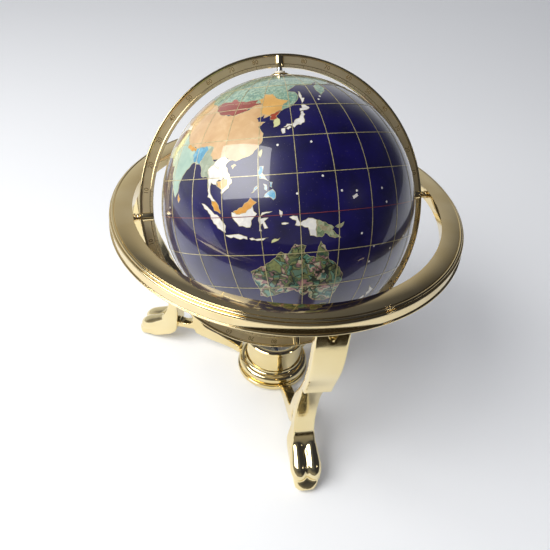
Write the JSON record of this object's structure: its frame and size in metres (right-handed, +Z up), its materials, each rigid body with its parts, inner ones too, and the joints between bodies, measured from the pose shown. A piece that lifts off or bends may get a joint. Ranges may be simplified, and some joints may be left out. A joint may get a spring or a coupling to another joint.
{
  "type": "gemstone inlay globe on tripod stand",
  "caption": "Inlaid stone terrestrial globe turning in a full meridian ring, which tilts inside a flat horizon ring on a polished tripod with a compass hub.",
  "frame": {"origin": "on the table, under the globe's centre, which is also the middle of the compass hub", "axes": "+Z up; X along the meridian ring's tilt axis; at rest the north pole leans towards +Y and the front leg points to -Y"},
  "size_m": [0.3082, 0.312, 0.3195],
  "materials": {
    "gold_plate": "polished gold plate on cast and turned brass, clear lacquer",
    "bearing_brass": "turned brass",
    "steel": "bright zinc",
    "felt": "green felt",
    "core_resin": "moulded resin",
    "nylon": "natural nylon",
    "cut_stone": "inlaid cut stone and shell, polished and lacquered",
    "glass": "clear float glass",
    "dial_enamel": "cream enamel",
    "needle_blue": "blued steel, one end painted red"
  },
  "bodies": {
    "stand": {"horizon_ring": "gold_plate", "east_pivot_bush": "bearing_brass", "west_pivot_bush": "bearing_brass", "leg_front": "gold_plate", "leg_left": "gold_plate", "leg_right": "gold_plate", "leg_screws": "steel", "foot_pad_front": "felt", "foot_pad_left": "felt", "foot_pad_right": "felt", "hub_base": "gold_plate", "hub_screws": "steel", "compass_cup": "gold_plate", "compass_bezel": "gold_plate", "compass_glass": "glass", "compass_dial": "dial_enamel", "compass_post": "bearing_brass"},
    "gimbal": {"meridian_ring": "gold_plate", "east_pivot_pin": "gold_plate", "west_pivot_pin": "gold_plate", "north_pole_pin": "steel", "south_pole_pin": "steel"},
    "globe": {"core_north": "core_resin", "core_south": "core_resin", "core_joint_band": "core_resin", "stone_shell": "cut_stone", "north_bush": "bearing_brass", "south_bush": "bearing_brass", "north_cap": "gold_plate", "south_cap": "gold_plate", "north_washer": "nylon", "south_washer": "nylon"},
    "needle": {"compass_needle": "needle_blue", "needle_jewel": "bearing_brass"}
  },
  "joints": [
    {"name": "meridian_tilt", "type": "hinge", "parent": "stand", "child": "gimbal", "pos_m": [0, 0, 0.208], "axis": [1, 0, 0], "continuous": true},
    {"name": "globe_spin", "type": "hinge", "parent": "gimbal", "child": "globe", "pos_m": [0, 0, 0.208], "axis": [0, 0.5105, 0.8599], "continuous": true},
    {"name": "needle_turn", "type": "hinge", "parent": "stand", "child": "needle", "pos_m": [0, 0, 0.034], "axis": [0, 0, 1], "continuous": true}
  ]
}
